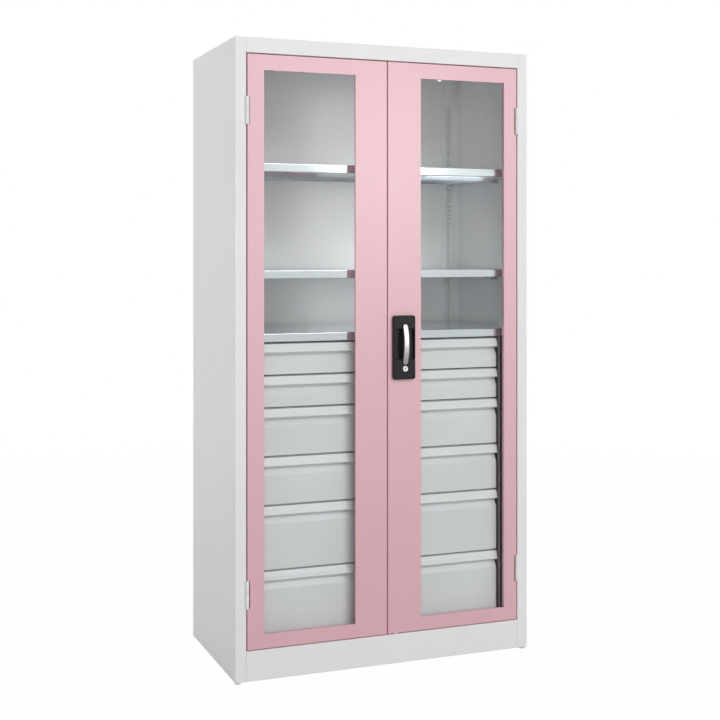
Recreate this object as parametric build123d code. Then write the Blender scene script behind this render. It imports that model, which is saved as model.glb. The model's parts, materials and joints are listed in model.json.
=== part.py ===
from build123d import *
import math
import os

# Body of the cabinet
cabinet_width = 1000
cabinet_depth = 500
carcass_height = 1950
foot_drop = 6
sheet = 1.5
bend = 2
post_width = 35
stop_depth = 27
stop_width = 16
stop_height = 18
rear_flange = 22
top_rear_flange = 7
top_rail = 46.7
plinth_height = 91.5
plinth_return = 20
floor_rise = 17.5
floor_lip = 15

# Clearances
seat = 0.3
bore_gap = 0.1
turn_gap = 0.3
pass_gap = 1
cut_over = 5

# Wall-fixing holes in the back
wall_hole_radius = 10
wall_hole_inset = 76
wall_hole_below_top = 18

# Slotted support strips
strip_width = 35
strip_proud = 12
rear_strip_inset = 44.5
front_strip_y = 157.5
slot_width = 16
slot_height = 7
slot_pitch = 15
slots_below_shelf = 2
slot_top_gap = 120

# Shelves and their brackets
shelf_front = 36
shelf_lip = 26
shelf_hem = 12
middle_shelf_steps = 13
upper_shelf_steps = 35
bracket_width = 14
bracket_reach = 20
bracket_height = 12
tongue_width = 12
tongue_height = 5
tongue_hook = 4

# Feet
foot_radius = 9
foot_stem_radius = 4
foot_stem = 8
foot_inset = 12
foot_plate_length = 58
foot_plate_thickness = 3

# Drawers, from the top one down
drawer_pitches = (100, 100, 150, 150, 200, 200)
drawer_floor_gap = 6.6
drawer_top_gap = 6.4
drawer_gap = 5.6
drawer_side_gap = 14.5
strip_front = 34
panel_front = 43
recess_front = 57
grip_height = 28
grip_lean = 8
grip_bulge = 1.2
grip_round = 3
recess_wall = 4
shoulder_height = 23
tray_side_gap = 25
tray_rear_gap = 40
tray_lift = 5
tray_below_top = 14

# Frame and runners of the drawers
frame_inset = 75.5
frame_front = 42
frame_flange = 8
frame_rear_gap = 20
frame_rear_flange = 10
rail_height = 36
rail_depth = 14
rail_front = 80
rail_rear_gap = 30
rail_lift = 4
runner_height = 28
runner_depth = 17.5
runner_web = 2
runner_front = 82

# Doors
door_depth = 25
hinge_edge_gap = 3.5
centre_gap = 3
door_gap = 3.2
left_hinge_stile = 53
left_lock_stile = 107.7
right_hinge_stile = 46.3
right_lock_stile = 114.4
window_below_top = 48.1
window_above_bottom = 43.2
window_return = 13
pane_thickness = 3
pane_overlap = 15

# Hinges
hinge_out = 2
hinge_proud = 1
knuckle_radius = 6.5
hinge_height = 85
hinge_pin_radius = 3
hinge_cap = 3.5
hinge_leaf = 2.5
hinge_leaf_depth = 20
hinge_relief = 3.5
hinge_from_bottom = 167.3
hinge_from_top = 172.1

# Handle and its plate
handle_inset = 51.5
plate_width = 74
plate_height = 202
plate_thickness = 15
plate_corner = 8
plate_edge = 2
plate_above_door_bottom = 903.3
recess_width = 66
recess_height = 98
recess_raise = 10.5
recess_depth = 11
recess_round = 4
bow_height = 128
bow_raise = 10
bow_width = 17
bow_round = 3.5
bow_end_round = 8
bow_end_thickness = 5
bow_middle_thickness = 9
bow_foot = 16
handle_reach = 34
spindle_below_bow_top = 8
spindle_radius = 4.5
spindle_front = 20
tongue_depth = 25.6
tongue_thickness = 3
tongue_length = 66
tongue_arm = 14
tongue_hub = 9

# Rack drive of the lock rods
gear_module = 2
gear_teeth = 12
pressure_angle = 25
addendum = 1.6
dedendum = 2.2
backlash = 0.15
flank_steps = 4
rack_below = 5
rack_above = 2
rack_end = 32
rod_width = 8
rod_front = 7
rod_thickness = 8
rod_tip_in = 0.5
case_half_width = 27
case_height = 80
case_depth = 20
guide_wall = 4
guide_back = 18
guide_height = 14
guide_from_top = 156.1
guide_from_bottom = 149.3
guide_above_spindle = 230
guide_below_spindle = 370

# Lock cylinder
lock_below_centre = 67
lock_aside = 2
lock_radius = 9
lock_bore = 6.1
lock_proud = 1
lock_back = 12
plug_radius = 6
plug_proud = 0.4
cam_length = 11
cam_width = 9
cam_thickness = 3
key_slot_width = 1.6
key_slot_length = 8
key_slot_depth = 4

# Positions that follow from the sizes
quarter_turn = 90
half_width = cabinet_width / 2
post_x = half_width - post_width
inner_x = half_width - sheet
carcass_top = foot_drop + carcass_height
top_underside = carcass_top - sheet
rail_bottom = carcass_top - top_rail
plinth_top = foot_drop + plinth_height
floor_top = plinth_top + floor_rise
back_outer = cabinet_depth - sheet
back_inner = back_outer - sheet
stop_back = stop_depth + sheet
stop_x = post_x - stop_width
wall_hole_x = half_width - wall_hole_inset
wall_hole_height = carcass_top - wall_hole_below_top
rear_strip_x = half_width - rear_strip_inset
rear_strip_y = back_inner - strip_proud
front_strip_x = inner_x - strip_proud
front_slot_x = inner_x - strip_proud / 2
drawer_first_top = floor_top + drawer_floor_gap + sum(drawer_pitches)
lower_shelf_top = drawer_first_top + drawer_top_gap + shelf_lip
slot_first = lower_shelf_top - shelf_lip - bracket_height / 2 - slots_below_shelf * slot_pitch
slot_count = int((top_underside - slot_top_gap - slot_first) / slot_pitch) + 1
shelf_half = front_strip_x - seat
shelf_back = rear_strip_y - seat
shelf_tops = (
    lower_shelf_top,
    lower_shelf_top + middle_shelf_steps * slot_pitch,
    lower_shelf_top + upper_shelf_steps * slot_pitch,
)
frame_top = lower_shelf_top - shelf_lip - seat
frame_face = half_width - frame_inset
frame_inner = frame_face - sheet
frame_back = cabinet_depth - frame_rear_gap
drawer_half_width = frame_face - drawer_side_gap
tray_half_width = frame_inner - tray_side_gap
tray_back = cabinet_depth - tray_rear_gap
rail_back = cabinet_depth - rail_rear_gap
front_back = recess_front + sheet
door_out = post_x - hinge_edge_gap
door_in = centre_gap / 2
door_top = rail_bottom - door_gap
door_bottom = plinth_top + door_gap
left_stiles = (left_hinge_stile, left_lock_stile)
right_stiles = (right_hinge_stile, right_lock_stile)
window_top = door_top - window_below_top
window_bottom = door_bottom + window_above_bottom
hinge_x = post_x - hinge_out
hinge_centres = (door_bottom + hinge_from_bottom, door_top - hinge_from_top)
pane_front = sheet + seat
pane_back = pane_front + pane_thickness
handle_x = door_in + handle_inset
plate_centre = door_bottom + plate_above_door_bottom
recess_centre = plate_centre + recess_raise
bow_top = plate_centre + bow_raise + bow_height / 2
bow_bottom = bow_top - bow_height
spindle_height = bow_top - spindle_below_bow_top
lock_x = handle_x + lock_aside
lock_height = plate_centre - lock_below_centre
pitch_radius = gear_module * gear_teeth / 2
root_line = pitch_radius + dedendum
tip_line = pitch_radius - addendum
rod_back = rod_front + rod_thickness
upper_rod_x = handle_x + root_line
lower_rod_x = handle_x - root_line
case_web = case_depth - sheet
upper_guides = (spindle_height + guide_above_spindle, door_top - guide_from_top)
lower_guides = (door_bottom + guide_from_bottom, spindle_height - guide_below_spindle)
front_y = (handle_reach - cabinet_depth) / 2


# Shapes used again and again
def block(x0, x1, y0, y1, z0, z1):
    middle = Pos((x0 + x1) / 2, (y0 + y1) / 2, (z0 + z1) / 2)
    return middle * Box(x1 - x0, y1 - y0, z1 - z0)


def upright(x, y, radius, z0, z1):
    return Pos(x, y, (z0 + z1) / 2) * Cylinder(radius, z1 - z0)


def level(x, z, radius, y0, y1):
    return Pos(x, (y0 + y1) / 2, z) * Rot(X=quarter_turn) * Cylinder(radius, y1 - y0)


def bent(points, side, radius=bend):
    line = FilletPolyline(*points, radius=radius)
    return make_face(offset(line, amount=sheet, side=side).edges())


def across(face, half_length):
    return Pos(-half_length, 0, 0) * extrude(Plane.YZ * face, 2 * half_length)


def standing(face, z0, z1):
    return Pos(0, 0, z0) * extrude(face, z1 - z0)


def other_side(shape):
    return mirror(shape, about=Plane.YZ)


def both_sides(shapes):
    return shapes + [other_side(shape) for shape in shapes]


def hinge_cut(centre, gap):
    reach = hinge_height / 2 + seat
    return upright(hinge_x, -hinge_proud, knuckle_radius + gap, centre - reach, centre + reach)


# Carcass
def side_panel():
    points = [
        (stop_x, stop_depth),
        (post_x, stop_depth),
        (post_x, 0),
        (half_width, 0),
        (half_width, cabinet_depth),
        (half_width - rear_flange, cabinet_depth),
    ]
    panel = standing(bent(points, Side.LEFT), foot_drop, top_underside)
    for centre in hinge_centres:
        panel -= hinge_cut(centre, turn_gap)
    return panel


def stop_trims(z0, z1):
    side = block(stop_x - seat, half_width, stop_depth - bend, stop_back + cut_over, z0, z1)
    return both_sides([side])


def rod_hole(x0, z0, z1):
    x1 = x0 + rod_width
    y0 = rod_front - pass_gap
    y1 = rod_back + pass_gap
    return block(x0 - pass_gap, x1 + pass_gap, y0, y1, z0 - cut_over, z1 + cut_over)


def top_panel():
    points = [
        (stop_depth, rail_bottom - stop_height),
        (stop_depth, rail_bottom),
        (0, rail_bottom),
        (0, carcass_top),
        (cabinet_depth, carcass_top),
        (cabinet_depth, carcass_top - top_rear_flange),
    ]
    panel = across(bent(points, Side.RIGHT), post_x)
    for trim in stop_trims(rail_bottom - stop_height - cut_over, rail_bottom + sheet + seat):
        panel -= trim
    panel -= rod_hole(upper_rod_x, rail_bottom, rail_bottom)
    end = block(post_x, half_width, 0, cabinet_depth, top_underside, carcass_top)
    for piece in both_sides([end]):
        panel += piece
    return panel


def plinth_front():
    points = [
        (stop_depth, plinth_top + stop_height),
        (stop_depth, plinth_top),
        (0, plinth_top),
        (0, foot_drop),
        (plinth_return, foot_drop),
    ]
    panel = across(bent(points, Side.LEFT), post_x)
    for trim in stop_trims(plinth_top - sheet - seat, plinth_top + stop_height + cut_over):
        panel -= trim
    return panel - rod_hole(lower_rod_x - rod_width, plinth_top, plinth_top)


def bottom_panel():
    y0 = stop_back + seat
    low = floor_top - floor_lip
    outer = block(-inner_x, inner_x, y0, back_inner, low, floor_top)
    hollow_x = inner_x - sheet
    hollow_z = (low - cut_over, floor_top - sheet)
    return outer - block(-hollow_x, hollow_x, y0 + sheet, back_inner - sheet, *hollow_z)


def back_panel():
    half = inner_x - bend
    panel = block(-half, half, back_inner, back_outer, foot_drop, top_underside - bend)
    hole = level(wall_hole_x, wall_hole_height, wall_hole_radius, 0, cabinet_depth)
    for cut in both_sides([hole]):
        panel -= cut
    return panel


# Slotted support strips
def slot_heights():
    return [slot_first + slot_pitch * step for step in range(slot_count)]


def rear_strip():
    x0 = rear_strip_x - strip_width / 2
    x1 = rear_strip_x + strip_width / 2
    points = [(x0, back_inner), (x0, rear_strip_y), (x1, rear_strip_y), (x1, back_inner)]
    strip = standing(bent(points, Side.LEFT), floor_top, top_underside)
    slot = Box(slot_width, 2 * cut_over, slot_height)
    return strip - [Pos(rear_strip_x, rear_strip_y, z) * slot for z in slot_heights()]


def front_strip():
    y0 = front_strip_y - strip_width / 2
    y1 = front_strip_y + strip_width / 2
    points = [(inner_x, y0), (front_strip_x, y0), (front_strip_x, y1), (inner_x, y1)]
    strip = standing(bent(points, Side.RIGHT), floor_top, top_underside)
    slot = Box(slot_height, 2 * cut_over, slot_height)
    return strip - [Pos(front_slot_x, y1, z) * slot for z in slot_heights()]


# Shelves
def shelf(top):
    low = top - shelf_lip
    points = [
        (shelf_front + shelf_hem, low),
        (shelf_front, low),
        (shelf_front, top),
        (shelf_back, top),
        (shelf_back, low),
    ]
    board = across(bent(points, Side.RIGHT), shelf_half)
    y0 = shelf_front + shelf_hem
    end = block(shelf_half - sheet, shelf_half, y0, shelf_back - bend, low, top - sheet / 2)
    for piece in both_sides([end]):
        board += piece
    return board


def rear_bracket(top):
    high = top - shelf_lip
    low = high - bracket_height
    x0 = rear_strip_x - bracket_width / 2
    body = block(x0, x0 + bracket_width, rear_strip_y - bracket_reach, rear_strip_y, low, high)
    tongue = Box(tongue_width, 2 * (sheet + tongue_hook), tongue_height)
    return body + Pos(rear_strip_x, rear_strip_y, (low + high) / 2) * tongue


def front_bracket(top):
    high = top - shelf_lip
    low = high - bracket_height
    x0 = front_strip_x - bracket_reach
    y0 = front_strip_y + strip_width / 2
    body = block(x0, inner_x - seat, y0, y0 + bracket_width, low, high)
    tongue = Box(tongue_height, 2 * (sheet + tongue_hook), tongue_height)
    return body + Pos(front_slot_x, y0, (low + high) / 2) * tongue


def shelf_brackets():
    brackets = []
    for top in shelf_tops:
        brackets += both_sides([rear_bracket(top), front_bracket(top)])
    return brackets


# Feet
def foot_places():
    x = half_width - foot_inset
    return [(x, foot_inset), (x, cabinet_depth - foot_inset)]


def foot_plate(x, y):
    x0 = post_x + sheet + seat
    y0 = sheet + seat if y < cabinet_depth / 2 else back_inner - seat - foot_plate_length
    plate = block(x0, inner_x, y0, y0 + foot_plate_length, foot_drop, foot_drop + foot_plate_thickness)
    return plate - upright(x, y, foot_stem_radius + bore_gap, 0, foot_drop + foot_plate_thickness + cut_over)


def levelling_foot(x, y):
    pad = upright(x, y, foot_radius, 0, foot_drop)
    return pad + upright(x, y, foot_stem_radius, 0, foot_drop + foot_stem)


# Drawers
def drawer_tops():
    return [drawer_first_top - sum(drawer_pitches[:number]) for number in range(len(drawer_pitches))]


def drawer_levels(number):
    top = drawer_tops()[number]
    bottom = top - drawer_pitches[number] + drawer_gap
    return top, bottom, bottom + tray_lift, bottom + tray_lift + rail_lift


def drawer_front(number):
    top, bottom, tray_low, rail_low = drawer_levels(number)
    grip_low = top - grip_height
    shoulder_top = grip_low - recess_wall
    points = [
        (front_back, top),
        (strip_front + grip_lean, top),
        (strip_front + grip_lean / 2 - grip_bulge, top - grip_height / 2),
        (strip_front, grip_low + grip_round),
        (strip_front + grip_round, grip_low),
        (recess_front, grip_low),
        (recess_front, shoulder_top),
        (panel_front, shoulder_top - shoulder_height),
        (panel_front, bottom),
        (front_back, bottom),
    ]
    return across(bent(points, Side.LEFT, bend / 2), drawer_half_width)


def drawer_tray(number):
    top, bottom, tray_low, rail_low = drawer_levels(number)
    tray_high = top - tray_below_top
    outer = block(-tray_half_width, tray_half_width, front_back, tray_back, tray_low, tray_high)
    inner_half = tray_half_width - sheet
    inner_z = (tray_low + sheet, tray_high + cut_over)
    return outer - block(-inner_half, inner_half, front_back + sheet, tray_back - sheet, *inner_z)


def drawer_runner(number):
    rail_low = drawer_levels(number)[-1]
    low = rail_low + sheet + seat
    high = low + runner_height
    x1 = tray_half_width + runner_depth
    bar = block(tray_half_width, x1, runner_front, tray_back, low, high)
    groove_x = tray_half_width + runner_web
    inside = (runner_front - cut_over, tray_back + cut_over, low + runner_web, high - runner_web)
    return bar - block(groove_x, x1 + cut_over, *inside)


def drawer_rail(number):
    low = drawer_levels(number)[-1]
    high = low + rail_height
    bar = block(frame_inner - rail_depth, frame_inner, rail_front, rail_back, low, high)
    x0 = frame_inner - rail_depth - cut_over
    return bar - block(x0, frame_inner - sheet, 0, cabinet_depth, low + sheet, high - sheet)


def drawer_rails():
    return [drawer_rail(number) for number in range(len(drawer_pitches))]


def drawer_frame():
    points = [
        (frame_face - frame_flange, frame_front),
        (frame_face, frame_front),
        (frame_face, frame_back),
        (frame_face + frame_rear_flange, frame_back),
    ]
    return standing(bent(points, Side.LEFT), floor_top, frame_top)


# Hinges
def knuckle(low, high):
    return upright(hinge_x, -hinge_proud, knuckle_radius, low, high)


def pin_bore(low, high):
    return upright(hinge_x, -hinge_proud, hinge_pin_radius + bore_gap, low, high)


def hinge_frame_half(centre):
    low = centre - hinge_height / 2
    high = centre - seat / 2
    leaf = block(post_x - hinge_leaf, post_x, -hinge_proud, hinge_leaf_depth, low, high)
    return knuckle(low, high) + leaf - pin_bore(low + hinge_cap, high + cut_over)


def hinge_door_half(centre):
    low = centre + seat / 2
    high = centre + hinge_height / 2
    leaf = block(door_out, door_out + hinge_leaf, -hinge_proud, hinge_leaf_depth, low, high)
    return knuckle(low, high) + leaf - pin_bore(low - cut_over, high - hinge_cap)


def hinge_pin(centre):
    reach = hinge_height / 2 - hinge_cap - seat
    return upright(hinge_x, -hinge_proud, hinge_pin_radius, centre - reach, centre + reach)


# Doors, drawn on the right-hand side
def window_sides(stiles):
    hinge_stile, lock_stile = stiles
    return door_in + lock_stile, door_out - hinge_stile


def door_panel(stiles):
    panel = block(door_in, door_out, 0, door_depth, door_bottom, door_top)
    panel = fillet(panel.faces().sort_by(Axis.Y)[0].edges(), bend)
    hollow = (door_bottom + sheet, door_top - sheet)
    panel -= block(door_in + sheet, door_out - sheet, sheet, door_depth + cut_over, *hollow)
    x0, x1 = window_sides(stiles)
    panel -= block(x0, x1, -cut_over, sheet + cut_over, window_bottom, window_top)
    panel += block(x1, x1 + sheet, 0, window_return, window_bottom, window_top)
    for centre in hinge_centres:
        panel -= hinge_cut(centre, hinge_relief)
    return panel


def right_door_panel():
    panel = door_panel(right_stiles)
    panel -= level(handle_x, spindle_height, spindle_radius + turn_gap, -cut_over, cut_over)
    panel -= level(lock_x, lock_height, lock_radius + bore_gap, -cut_over, cut_over)
    panel -= rod_hole(upper_rod_x, door_top, door_top)
    return panel - rod_hole(lower_rod_x - rod_width, door_bottom, door_bottom)


def window_pane(stiles):
    x0, x1 = window_sides(stiles)
    z0 = window_bottom - pane_overlap
    return block(x0 - pane_overlap, x1 - seat, pane_front, pane_back, z0, window_top + pane_overlap)


def pane_frame(stiles):
    x0, x1 = window_sides(stiles)
    y0 = pane_back + seat
    z0 = window_bottom - pane_overlap
    frame = block(x0 - pane_overlap, x1 - seat, y0, y0 + sheet, z0, window_top + pane_overlap)
    return frame - block(x0, x1, y0 - cut_over, y0 + cut_over, window_bottom, window_top)


# Handle
def handle_plate():
    outline = RectangleRounded(plate_width, plate_height, plate_corner)
    plate = Pos(handle_x, 0, plate_centre) * extrude(Plane.XZ * outline, plate_thickness)
    plate = fillet(plate.faces().sort_by(Axis.Y)[0].edges(), plate_edge)
    half = recess_width / 2
    low = recess_centre - recess_height / 2
    front = -plate_thickness - cut_over
    floor = recess_depth - plate_thickness
    pocket = block(handle_x - half, handle_x + half, front, floor, low, low + recess_height)
    pocket = fillet(pocket.faces().sort_by(Axis.Y)[-1].edges(), recess_round)
    plate -= pocket
    plate -= level(handle_x, spindle_height, spindle_radius + turn_gap, front, cut_over)
    return plate - level(lock_x, lock_height, lock_radius + bore_gap, front, cut_over)


def handle_bow():
    face_y = -plate_thickness - turn_gap
    end_y = face_y - bow_end_thickness
    middle = (bow_top + bow_bottom) / 2
    outer = ThreePointArc((end_y, bow_top), (-handle_reach, middle), (end_y, bow_bottom))
    lower = Polyline((end_y, bow_bottom), (face_y, bow_bottom), (face_y, bow_bottom + bow_foot))
    inner_points = (face_y, bow_bottom + bow_foot), (-handle_reach + bow_middle_thickness, middle)
    inner = ThreePointArc(*inner_points, (face_y, bow_top - bow_foot))
    upper = Polyline((face_y, bow_top - bow_foot), (face_y, bow_top), (end_y, bow_top))
    outline = make_face(outer.edges() + lower.edges() + inner.edges() + upper.edges())
    bow = Pos(handle_x - bow_width / 2, 0, 0) * extrude(Plane.YZ * outline, bow_width)
    bow = fillet(bow.edges().filter_by(Axis.Y), bow_end_round)
    bow = fillet(bow.faces().sort_by(Axis.Y)[0].edges(), bow_round)
    return bow - level(handle_x, spindle_height, spindle_radius + bore_gap, -spindle_front - bore_gap, 0)


def handle_spindle():
    return level(handle_x, spindle_height, spindle_radius, -spindle_front, tongue_depth + tongue_thickness)


def spindle_bore(y0, y1):
    return level(handle_x, spindle_height, spindle_radius + bore_gap, y0, y1)


def latch_tongue():
    y1 = tongue_depth + tongue_thickness
    half = tongue_arm / 2
    tip = spindle_height + tongue_length
    arm = block(handle_x - half, handle_x + half, tongue_depth, y1, spindle_height, tip)
    plate = arm + level(handle_x, spindle_height, tongue_hub, tongue_depth, y1)
    return plate - spindle_bore(tongue_depth - cut_over, y1 + cut_over)


# Rack drive
def involute(angle):
    return math.tan(angle) - angle


def flank(radius):
    slope = math.radians(pressure_angle)
    base = pitch_radius * math.cos(slope)
    half = math.pi / (2 * gear_teeth) - backlash / pitch_radius
    here = math.acos(min(1, base / radius))
    return half + involute(slope) - involute(here)


def tooth_points(number):
    base = pitch_radius * math.cos(math.radians(pressure_angle))
    tip = pitch_radius + addendum
    radii = [base + (tip - base) * step / flank_steps for step in range(flank_steps + 1)]
    radii = [pitch_radius - dedendum] + radii
    centre = 2 * math.pi * number / gear_teeth
    side = [(radius, flank(max(radius, base))) for radius in radii]
    corners = [(radius, centre - angle) for radius, angle in side]
    corners += [(radius, centre + angle) for radius, angle in reversed(side)]
    return [(radius * math.cos(angle), radius * math.sin(angle)) for radius, angle in corners]


def drive_pinion():
    points = [point for number in range(gear_teeth) for point in tooth_points(number)]
    outline = make_face(Polyline(*points, close=True).edges())
    gear = Pos(handle_x, rod_back, spindle_height) * extrude(Plane.XZ * outline, rod_thickness)
    return gear - spindle_bore(rod_front - cut_over, rod_back + cut_over)


def rack_tooth():
    slope = math.tan(math.radians(pressure_angle))
    half = gear_module * math.pi / 4 - backlash
    root = half + dedendum * slope
    tip = half - addendum * slope
    inside = root_line + sheet
    lower = [(inside, -root), (root_line, -root), (tip_line, -tip)]
    points = lower + [(x, -z) for x, z in reversed(lower)]
    outline = make_face(Polyline(*points, close=True).edges())
    return extrude(Plane.XZ * outline, rod_thickness)


def upper_lock_rod():
    x1 = upper_rod_x + rod_width
    rod = block(upper_rod_x, x1, rod_front, rod_back, spindle_height - rack_end, door_top - rod_tip_in)
    tooth = Pos(handle_x, rod_back, spindle_height) * rack_tooth()
    pitch = gear_module * math.pi
    for step in range(-rack_below, rack_above):
        rod += Pos(0, 0, (step + 1 / 2) * pitch) * tooth
    return rod


def lower_lock_rod():
    x0 = lower_rod_x - rod_width
    rod = block(x0, lower_rod_x, rod_front, rod_back, door_bottom + rod_tip_in, spindle_height + rack_end)
    tooth = Pos(handle_x, rod_back, spindle_height) * other_side(rack_tooth())
    pitch = gear_module * math.pi
    for step in range(-rack_above, rack_below):
        rod += Pos(0, 0, (step + 1 / 2) * pitch) * tooth
    return rod


def lock_case():
    z0 = spindle_height - case_height / 2
    z1 = spindle_height + case_height / 2
    case = block(handle_x - case_half_width, handle_x + case_half_width, sheet, case_depth, z0, z1)
    half = case_half_width - sheet
    case -= block(handle_x - half, handle_x + half, 0, case_web, z0 - cut_over, z1 + cut_over)
    return case - level(handle_x, spindle_height, spindle_radius + turn_gap, 0, case_depth + cut_over)


def rod_guide(x0, centre):
    z0 = centre - guide_height / 2
    x1 = x0 + rod_width
    guide = block(x0 - guide_wall, x1 + guide_wall, sheet, guide_back, z0, z0 + guide_height)
    y0 = rod_front - turn_gap
    y1 = rod_back + turn_gap
    return guide - block(x0 - turn_gap, x1 + turn_gap, y0, y1, z0 - cut_over, z0 + guide_height + cut_over)


def rod_guides():
    guides = [rod_guide(upper_rod_x, centre) for centre in upper_guides]
    return guides + [rod_guide(lower_rod_x - rod_width, centre) for centre in lower_guides]


# Lock
def lock_cylinder():
    y0 = -plate_thickness - lock_proud
    body = level(lock_x, lock_height, lock_radius, y0, lock_back)
    return body - level(lock_x, lock_height, lock_bore, y0 - cut_over, lock_back + cut_over)


def lock_plug():
    y0 = -plate_thickness - lock_proud - plug_proud
    cam_front = lock_back + turn_gap
    plug = level(lock_x, lock_height, plug_radius, y0, cam_front)
    half = cam_width / 2
    cam_z = (lock_height - half, lock_height + cam_length)
    plug += block(lock_x - half, lock_x + half, cam_front, cam_front + cam_thickness, *cam_z)
    slot = Box(key_slot_width, 2 * key_slot_depth, key_slot_length)
    return plug - Pos(lock_x, y0, lock_height) * slot


# Writing the pieces
def save(name, pieces):
    placed = [Pos(0, front_y, 0) * piece for piece in pieces]
    shape = placed[0] if len(placed) == 1 else Compound(children=placed)
    export_step(shape, "parts/" + name + ".step")


def save_pair(name, shapes):
    save(name + "_right", shapes)
    save(name + "_left", [other_side(shape) for shape in shapes])


def save_carcass():
    save_pair("side_panel", [side_panel()])
    save("top_panel", [top_panel()])
    save("plinth_front", [plinth_front()])
    save("bottom_panel", [bottom_panel()])
    save("back_panel", [back_panel()])
    save_pair("support_strip_rear", [rear_strip()])
    save_pair("support_strip_front", [front_strip()])
    for name, top in zip(("lower", "middle", "upper"), shelf_tops):
        save("shelf_" + name, [shelf(top)])
    save("shelf_brackets", shelf_brackets())
    save("foot_plates", both_sides([foot_plate(*place) for place in foot_places()]))
    save("levelling_feet", both_sides([levelling_foot(*place) for place in foot_places()]))
    save_pair("drawer_frame", [drawer_frame()])
    save_pair("drawer_rails", drawer_rails())


def save_drawers():
    for number in range(len(drawer_pitches)):
        name = "drawer_" + str(number + 1)
        save(name + "_front", [drawer_front(number)])
        save(name + "_tray", [drawer_tray(number)])
        save(name + "_runners", both_sides([drawer_runner(number)]))


def save_doors():
    save("hinge_frame_halves", both_sides([hinge_frame_half(centre) for centre in hinge_centres]))
    save("hinge_pins", both_sides([hinge_pin(centre) for centre in hinge_centres]))
    save_pair("hinge_door_halves", [hinge_door_half(centre) for centre in hinge_centres])
    save("door_panel_right", [right_door_panel()])
    save("door_panel_left", [other_side(door_panel(left_stiles))])
    save("window_pane_right", [window_pane(right_stiles)])
    save("window_pane_left", [other_side(window_pane(left_stiles))])
    save("pane_frame_right", [pane_frame(right_stiles)])
    save("pane_frame_left", [other_side(pane_frame(left_stiles))])


def save_lock():
    save("handle_plate", [handle_plate()])
    save("handle_bow", [handle_bow()])
    save("handle_spindle", [handle_spindle()])
    save("latch_tongue", [latch_tongue()])
    save("drive_pinion", [drive_pinion()])
    save("upper_lock_rod", [upper_lock_rod()])
    save("lower_lock_rod", [lower_lock_rod()])
    save("lock_case", [lock_case()])
    save("rod_guides", rod_guides())
    save("lock_cylinder", [lock_cylinder()])
    save("lock_plug", [lock_plug()])


os.makedirs("parts", exist_ok=True)
save_carcass()
save_drawers()
save_doors()
save_lock()
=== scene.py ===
import json
import math

import bmesh
import bpy
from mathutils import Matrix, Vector

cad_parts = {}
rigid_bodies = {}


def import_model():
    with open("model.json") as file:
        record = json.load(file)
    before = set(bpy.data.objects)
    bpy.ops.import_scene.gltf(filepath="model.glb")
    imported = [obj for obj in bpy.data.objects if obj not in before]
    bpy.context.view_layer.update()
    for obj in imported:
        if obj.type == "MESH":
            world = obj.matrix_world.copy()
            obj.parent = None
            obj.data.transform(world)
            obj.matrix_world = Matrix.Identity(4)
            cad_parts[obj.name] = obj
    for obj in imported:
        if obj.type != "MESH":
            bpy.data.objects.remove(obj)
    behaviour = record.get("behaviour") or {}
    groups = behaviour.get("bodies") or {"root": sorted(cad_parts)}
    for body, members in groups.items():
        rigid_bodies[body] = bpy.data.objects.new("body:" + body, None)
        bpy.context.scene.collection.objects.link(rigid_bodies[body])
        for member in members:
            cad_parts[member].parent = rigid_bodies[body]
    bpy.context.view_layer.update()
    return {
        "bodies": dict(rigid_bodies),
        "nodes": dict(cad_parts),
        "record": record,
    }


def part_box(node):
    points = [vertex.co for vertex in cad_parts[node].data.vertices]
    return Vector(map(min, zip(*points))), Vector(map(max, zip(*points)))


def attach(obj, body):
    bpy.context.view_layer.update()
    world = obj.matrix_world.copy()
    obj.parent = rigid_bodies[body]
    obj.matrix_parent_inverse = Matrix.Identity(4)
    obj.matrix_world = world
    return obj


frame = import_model()

# Lengths are in metres and lamp powers in watts

# Camera, fitted to the edges of the cabinet in the photograph
CAMERA_PLACE = (-1.55476, -3.78125, 1.30418)
CAMERA_TURN = 0.355347
CAMERA_LENS = 61.334
CAMERA_SHIFT = (0.060024, -0.149384)
CAMERA_REACH = 800

# Floor: its pairs run from near the cabinet to far away, and the fade gives the two distances
WHITE = (1, 1, 1, 1)
FLOOR_SIZE = 200
FLOOR_COLOUR = (0.6, 0.6, 0.6, 1)
FLOOR_GLOW = (0.985, 1)
FLOOR_GLOSS = (0, 0.72)
FLOOR_FADE = (1.5, 5)

# Lamps
SKY_FILL = 0.235
LIGHT_AIM = (0, 0, 1.1)
TOP_PLACE = (1.15, -10.4, 6.9)
TOP_SIZE = (5.8, 3.9)
TOP_POWER = 485
RIGHT_PLACE = (2.35, -5.6, 1.4)
RIGHT_SIZE = (2.4, 1.4)
RIGHT_POWER = 52
CARD_PLACE = (2.35, -5.6, 2.0)
CARD_SIZE = (0.2, 1.0)
CARD_POWER = 43
LEFT_PLACE = (-2.1, -5.6, 1.6)
LEFT_SIZE = (2.8, 1.6)
LEFT_POWER = 36
SIDE_PLACE = (-4.8, 1.2, 1.9)
SIDE_SIZE = (2.4, 2.4)
SIDE_POWER = 79
BACK_PLACE = (2.0, 7.0, 4.5)
BACK_SIZE = (3.0, 3.0)
BACK_POWER = 260
BOUNCES = 10

# Lamps close behind the doors, one a compartment: place across, height above the floor, size, power
INSIDE_DEPTH = -0.168
INSIDE_WIDTH = 0.14
INSIDE_DROP = 0.15
INSIDE_LAMPS = (
    (0.03, 1.64, 0.06, 0.6),
    (0.06, 1.335, 0.08, 0.84),
    (0.05, 1.115, 0.06, 0.5),
)

# Dark leaves in the lock's key slot: painted shade that stands in for the shadow inside the slot
PLUG_RADIUS = 0.006
SLOT_SHADE_DEPTH = 0.0006
SLOT_SHADE_THICKNESS = 0.003
SLOT_SHADE_WIDTH = 0.0014
SLOT_SHADE_HEIGHT = 0.0076
SLOT_SHADE_SPLIT = 0.0001

# Upstands on the drawer trays
UPSTAND_END_GAP = 0.003
UPSTAND_SET_BACK = 0.0003
UPSTAND_RISE = 0.0016
UPSTAND_SHEET = 0.001
UPSTAND_HEM = 0.005

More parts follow.
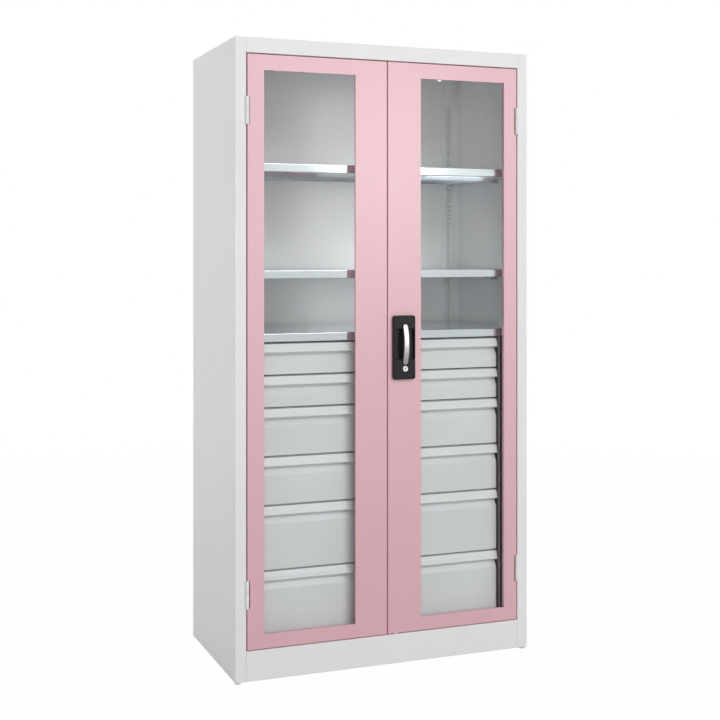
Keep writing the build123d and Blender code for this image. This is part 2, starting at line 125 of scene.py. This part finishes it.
# Edge softening
WELD_GAP = 0.00001
EDGE_WIDTH = 0.0004
EDGE_ANGLE = math.radians(40)
EDGE_STEPS = 2

# Part of a pattern's range that is spread over its results
PATTERN_BAND = (0.3, 0.7)
FULL_BAND = (0, 1)

# Finishes: tints are factors of the colour, spreads are added to the roughness,
# and a relief is a depth and a strength
COAT_CLOUD_SCALE = 3
COAT_PEEL_SCALE = 700
COAT_DETAIL = 2
COAT_TINTS = (0.985, 1.015)
COAT_SPREAD = (-0.04, 0.04)
COAT_RELIEF = (0.00008, 0.25)
SHEET_FLAKE_SCALE = 160
SHEET_WAVE_SCALE = 250
SHEET_DETAIL = 2
SHEET_TINTS = (0.985, 1.015)
SHEET_SPREAD = (-0.008, 0.008)
SHEET_METAL = 0.85
SHEET_RELIEF = (0.00005, 0.04)
PLATING_DETAIL = 3
PLATING_TINTS = (0.96, 1.03)
PLATING_SPREAD = (-0.04, 0.05)
PLATING_RELIEF = (0.00003, 0.08)
PLASTIC_SCALE = 1400
PLASTIC_DETAIL = 3
PLASTIC_TINTS = (0.9, 1.12)
PLASTIC_SPREAD = (-0.06, 0.06)
PLASTIC_RELIEF = (0.0001, 0.3)
PANE_SCALE = 6
PANE_DETAIL = 3
PANE_TINTS = (0.99, 1)
PANE_ROUGHNESS = (0.01, 0.04)
PANE_RELIEF = (0.0002, 0.02)
GLOSS_BLEND = 0.5
GLOSS_RISE = 5


# Node helpers
def start_material(name):
    material = bpy.data.materials.new(name)
    material.use_nodes = True
    tree = material.node_tree
    return material, tree, tree.nodes["Principled BSDF"]


def place(tree):
    return tree.nodes.new("ShaderNodeTexCoord").outputs["Object"]


def noise(tree, where, scale, detail):
    node = tree.nodes.new("ShaderNodeTexNoise")
    node.inputs["Scale"].default_value = scale
    node.inputs["Detail"].default_value = detail
    tree.links.new(where, node.inputs["Vector"])
    return node.outputs["Fac"]


# From sRGB to linear light
def linear(colour):
    return tuple(((c + 0.055) / 1.055) ** 2.4 if c > 0.04045 else c / 12.92 for c in colour)


def tinted(tree, pattern, colour, tints):
    node = tree.nodes.new("ShaderNodeValToRGB")
    for stop, position, tint in zip(node.color_ramp.elements, PATTERN_BAND, tints):
        stop.position = position
        stop.color = (*(min(1, c * tint) for c in linear(colour)), 1)
    tree.links.new(pattern, node.inputs["Fac"])
    return node.outputs["Color"]


def spread(tree, value, results, band=PATTERN_BAND):
    node = tree.nodes.new("ShaderNodeMapRange")
    node.inputs["From Min"].default_value, node.inputs["From Max"].default_value = band
    node.inputs["To Min"].default_value, node.inputs["To Max"].default_value = results
    tree.links.new(value, node.inputs["Value"])
    return node.outputs["Result"]


def roughen(tree, shader, pattern, rough, changes):
    results = [rough + change for change in changes]
    tree.links.new(spread(tree, pattern, results), shader.inputs["Roughness"])


def combine(tree, operation, first, second):
    node = tree.nodes.new("ShaderNodeMath")
    node.operation = operation
    tree.links.new(first, node.inputs[0])
    tree.links.new(second, node.inputs[1])
    return node.outputs["Value"]


def bump(tree, shader, height, relief):
    node = tree.nodes.new("ShaderNodeBump")
    node.inputs["Distance"].default_value, node.inputs["Strength"].default_value = relief
    tree.links.new(height, node.inputs["Height"])
    tree.links.new(node.outputs["Normal"], shader.inputs["Normal"])


# Materials
def powder_coat(name, colour, rough, shine):
    material, tree, shader = start_material(name)
    where = place(tree)
    cloud = noise(tree, where, COAT_CLOUD_SCALE, COAT_DETAIL)
    tree.links.new(tinted(tree, cloud, colour, COAT_TINTS), shader.inputs["Base Color"])
    peel = noise(tree, where, COAT_PEEL_SCALE, COAT_DETAIL)
    roughen(tree, shader, peel, rough, COAT_SPREAD)
    shader.inputs["Specular IOR Level"].default_value = shine
    bump(tree, shader, peel, COAT_RELIEF)
    return material


def galvanised_sheet(name, colour, rough):
    material, tree, shader = start_material(name)
    where = place(tree)
    cells = tree.nodes.new("ShaderNodeTexVoronoi")
    cells.inputs["Scale"].default_value = SHEET_FLAKE_SCALE
    tree.links.new(where, cells.inputs["Vector"])
    parts = tree.nodes.new("ShaderNodeSeparateColor")
    tree.links.new(cells.outputs["Color"], parts.inputs["Color"])
    flake = parts.outputs["Red"]
    tree.links.new(tinted(tree, flake, colour, SHEET_TINTS), shader.inputs["Base Color"])
    roughen(tree, shader, flake, rough, SHEET_SPREAD)
    shader.inputs["Metallic"].default_value = SHEET_METAL
    bump(tree, shader, noise(tree, where, SHEET_WAVE_SCALE, SHEET_DETAIL), SHEET_RELIEF)
    return material


def plated_metal(name, colour, rough, grain_scale):
    material, tree, shader = start_material(name)
    grain = noise(tree, place(tree), grain_scale, PLATING_DETAIL)
    tree.links.new(tinted(tree, grain, colour, PLATING_TINTS), shader.inputs["Base Color"])
    roughen(tree, shader, grain, rough, PLATING_SPREAD)
    shader.inputs["Metallic"].default_value = 1
    bump(tree, shader, grain, PLATING_RELIEF)
    return material


def moulded_plastic(name, colour, rough, shine):
    material, tree, shader = start_material(name)
    grain = noise(tree, place(tree), PLASTIC_SCALE, PLASTIC_DETAIL)
    tree.links.new(tinted(tree, grain, colour, PLASTIC_TINTS), shader.inputs["Base Color"])
    roughen(tree, shader, grain, rough, PLASTIC_SPREAD)
    shader.inputs["Specular IOR Level"].default_value = shine
    bump(tree, shader, grain, PLASTIC_RELIEF)
    return material


# The gloss rises with the slant of the view, alike on both faces of the sheet
def slanted_gloss(tree, least):
    weight = tree.nodes.new("ShaderNodeLayerWeight")
    weight.inputs["Blend"].default_value = GLOSS_BLEND
    rise = tree.nodes.new("ShaderNodeMath")
    rise.operation = "POWER"
    rise.inputs[1].default_value = GLOSS_RISE
    tree.links.new(weight.outputs["Facing"], rise.inputs[0])
    return spread(tree, rise.outputs["Value"], (least, 1), FULL_BAND)


def clear_sheet(name, colour, least_gloss):
    material, tree, shader = start_material(name)
    haze = noise(tree, place(tree), PANE_SCALE, PANE_DETAIL)
    tree.links.new(spread(tree, haze, PANE_ROUGHNESS), shader.inputs["Roughness"])
    shader.inputs["Metallic"].default_value = 1
    bump(tree, shader, haze, PANE_RELIEF)
    clear = tree.nodes.new("ShaderNodeBsdfTransparent")
    tree.links.new(tinted(tree, haze, colour, PANE_TINTS), clear.inputs["Color"])
    mix = tree.nodes.new("ShaderNodeMixShader")
    tree.links.new(slanted_gloss(tree, least_gloss), mix.inputs["Fac"])
    tree.links.new(clear.outputs["BSDF"], mix.inputs[1])
    tree.links.new(shader.outputs["BSDF"], mix.inputs[2])
    tree.links.new(mix.outputs["Shader"], tree.nodes["Material Output"].inputs["Surface"])
    return material


MATERIALS = {
    "carcass_paint": powder_coat("carcass_paint", (0.94, 0.94, 0.94), rough=0.4, shine=0.4),
    "door_paint": powder_coat("door_paint", (0.895, 0.705, 0.74), rough=0.36, shine=1.0),
    "drawer_paint": powder_coat("drawer_paint", (0.905, 0.906, 0.909), rough=0.4, shine=0.6),
    "galvanised": galvanised_sheet("galvanised", (0.9, 0.915, 0.925), rough=0.09),
    "zinc_hardware": plated_metal("zinc_hardware", (0.82, 0.83, 0.84), rough=0.35, grain_scale=600),
    "black_plastic": moulded_plastic("black_plastic", (0.05, 0.05, 0.052), rough=0.4, shine=0.28),
    "chrome": plated_metal("chrome", (0.8, 0.8, 0.8), rough=0.38, grain_scale=900),
    "clear_acrylic": clear_sheet("clear_acrylic", (0.985, 0.99, 0.99), least_gloss=0.004),
    "foot_plastic": moulded_plastic("foot_plastic", (0.88, 0.88, 0.88), rough=0.5, shine=0.4),
}


# Finishes of the CAD pieces
def soften(node):
    weld = node.modifiers.new("weld", "WELD")
    weld.merge_threshold = WELD_GAP
    bevel = node.modifiers.new("edges", "BEVEL")
    bevel.width = EDGE_WIDTH
    bevel.segments = EDGE_STEPS
    bevel.limit_method = "ANGLE"
    bevel.angle_limit = EDGE_ANGLE
    bevel.harden_normals = True


for part in frame["record"]["subparts"]:
    node = frame["nodes"][part["node"]]
    node.data.materials.clear()
    node.data.materials.append(MATERIALS[part["material_slot"]])
    soften(node)


# Pieces that the CAD leaves to the scene
def prisms(name, outlines, push, slot, body):
    form = bmesh.new()
    for outline in outlines:
        face = form.faces.new([form.verts.new(spot) for spot in outline])
        pushed = bmesh.ops.extrude_face_region(form, geom=[face])["geom"]
        moved = [item for item in pushed if isinstance(item, bmesh.types.BMVert)]
        bmesh.ops.translate(form, verts=moved, vec=push)
    bmesh.ops.recalc_face_normals(form, faces=form.faces)
    mesh = bpy.data.meshes.new(name)
    form.to_mesh(mesh)
    form.free()
    mesh.materials.append(MATERIALS[slot])
    piece = bpy.data.objects.new(name, mesh)
    bpy.context.scene.collection.objects.link(piece)
    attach(piece, body)
    return piece


# Two dark leaves behind the key slot: painted shade for the shadow inside the slot
def key_slot_shade():
    low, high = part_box("lock_plug")
    x = (low[0] + high[0]) / 2
    y = low[1] + SLOT_SHADE_DEPTH
    z = low[2] + PLUG_RADIUS
    bottom = z - SLOT_SHADE_HEIGHT / 2
    top = z + SLOT_SHADE_HEIGHT / 2
    outlines = []
    for side in (-1, 1):
        near = x + side * SLOT_SHADE_SPLIT / 2
        far = x + side * SLOT_SHADE_WIDTH / 2
        outlines.append([(near, y, bottom), (far, y, bottom), (far, y, top), (near, y, top)])
    # The black leaves paint the shade inside the key slot
    prisms("key_slot_shade", outlines, (0, SLOT_SHADE_THICKNESS, 0), "black_plastic", "lock_plug_body")


# Hemmed upstand on each tray's front wall, which closes the gap above the drawer front
def tray_upstand(drawer):
    front_low, front_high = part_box(f"{drawer}_front")
    tray_low, tray_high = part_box(f"{drawer}_tray")
    left = front_low[0] + UPSTAND_END_GAP
    right = front_high[0] - UPSTAND_END_GAP
    face = tray_low[1] + UPSTAND_SET_BACK
    foot = tray_high[2]
    top = front_high[2] + UPSTAND_RISE
    profile = (
        (face, foot),
        (face, top),
        (face + UPSTAND_HEM, top),
        (face + UPSTAND_HEM, top - UPSTAND_SHEET),
        (face + UPSTAND_SHEET, top - UPSTAND_SHEET),
        (face + UPSTAND_SHEET, foot),
    )
    outline = [(left, y, z) for y, z in profile]
    piece = prisms(f"{drawer}_upstand", [outline], (right - left, 0, 0), "drawer_paint", drawer)
    soften(piece)


key_slot_shade()
for drawer in (body for body in frame["bodies"] if body.startswith("drawer_")):
    tray_upstand(drawer)


# Stage
def seen_rays(tree):
    light = tree.nodes.new("ShaderNodeLightPath")
    seen = combine(tree, "MAXIMUM", light.outputs["Is Camera Ray"], light.outputs["Is Transmission Ray"])
    return seen, light.outputs["Is Glossy Ray"]


# White where it is seen or mirrored, and a weak fill for the light on the cabinet
def white_world():
    world = bpy.data.worlds.new("studio")
    bpy.context.scene.world = world
    world.use_nodes = True
    tree = world.node_tree
    fill = tree.nodes["Background"]
    fill.inputs["Color"].default_value = WHITE
    fill.inputs["Strength"].default_value = SKY_FILL
    white = tree.nodes.new("ShaderNodeBackground")
    white.inputs["Color"].default_value = WHITE
    white.inputs["Strength"].default_value = 1
    mix = tree.nodes.new("ShaderNodeMixShader")
    tree.links.new(combine(tree, "MAXIMUM", *seen_rays(tree)), mix.inputs["Fac"])
    tree.links.new(fill.outputs["Background"], mix.inputs[1])
    tree.links.new(white.outputs["Background"], mix.inputs[2])
    tree.links.new(mix.outputs["Shader"], tree.nodes["World Output"].inputs["Surface"])


def floor_material():
    material, tree, shader = start_material("floor_white")
    shader.inputs["Base Color"].default_value = FLOOR_COLOUR
    shader.inputs["Roughness"].default_value = 1
    shader.inputs["Specular IOR Level"].default_value = 0
    glow = tree.nodes.new("ShaderNodeEmission")
    away = tree.nodes.new("ShaderNodeVectorMath")
    away.operation = "LENGTH"
    tree.links.new(place(tree), away.inputs[0])
    distance = away.outputs["Value"]
    seen, mirrored = seen_rays(tree)
    seen = combine(tree, "MULTIPLY", seen, spread(tree, distance, FLOOR_GLOW, FLOOR_FADE))
    mirrored = combine(tree, "MULTIPLY", mirrored, spread(tree, distance, FLOOR_GLOSS, FLOOR_FADE))
    mix = tree.nodes.new("ShaderNodeMixShader")
    tree.links.new(combine(tree, "MAXIMUM", seen, mirrored), mix.inputs["Fac"])
    tree.links.new(shader.outputs["BSDF"], mix.inputs[1])
    tree.links.new(glow.outputs["Emission"], mix.inputs[2])
    tree.links.new(mix.outputs["Shader"], tree.nodes["Material Output"].inputs["Surface"])
    return material


def floor():
    half = FLOOR_SIZE / 2
    mesh = bpy.data.meshes.new("floor")
    corners = [(-half, -half, 0), (half, -half, 0), (half, half, 0), (-half, half, 0)]
    mesh.from_pydata(corners, [], [(0, 1, 2, 3)])
    mesh.materials.append(floor_material())
    plane = bpy.data.objects.new("floor", mesh)
    bpy.context.scene.collection.objects.link(plane)


def area_light(name, spot, size, power, aim=LIGHT_AIM):
    data = bpy.data.lights.new(name, "AREA")
    data.shape = "RECTANGLE"
    data.size, data.size_y = size
    data.energy = power
    lamp = bpy.data.objects.new(name, data)
    lamp.location = spot
    lamp.rotation_euler = (Vector(aim) - Vector(spot)).to_track_quat("-Z", "Y").to_euler()
    bpy.context.scene.collection.objects.link(lamp)
    return lamp


def inside_lights():
    for number, (across, height, size, power) in enumerate(INSIDE_LAMPS):
        spot = (across, INSIDE_DEPTH, height)
        aim = (across, 0, height - INSIDE_DROP)
        lamp = area_light(f"inside_{number}", spot, (INSIDE_WIDTH, size), power, aim)
        lamp.visible_camera = False
        lamp.visible_glossy = False


def camera():
    data = bpy.data.cameras.new("camera")
    data.lens = CAMERA_LENS
    data.shift_x, data.shift_y = CAMERA_SHIFT
    data.clip_end = CAMERA_REACH
    eye = bpy.data.objects.new("camera", data)
    eye.location = CAMERA_PLACE
    eye.rotation_euler = (math.pi / 2, 0, -CAMERA_TURN)
    bpy.context.scene.collection.objects.link(eye)
    bpy.context.scene.camera = eye


# The card is only mirrored, and the lamp beside it only lights
white_world()
floor()
area_light("top", TOP_PLACE, TOP_SIZE, TOP_POWER)
area_light("right", RIGHT_PLACE, RIGHT_SIZE, RIGHT_POWER).visible_glossy = False
area_light("right_card", CARD_PLACE, CARD_SIZE, CARD_POWER).visible_diffuse = False
area_light("left", LEFT_PLACE, LEFT_SIZE, LEFT_POWER)
area_light("side", SIDE_PLACE, SIDE_SIZE, SIDE_POWER)
area_light("back", BACK_PLACE, BACK_SIZE, BACK_POWER)
inside_lights()
camera()
bpy.context.scene.view_settings.view_transform = "Standard"
bpy.context.scene.cycles.max_bounces = BOUNCES
bpy.context.scene.cycles.diffuse_bounces = BOUNCES
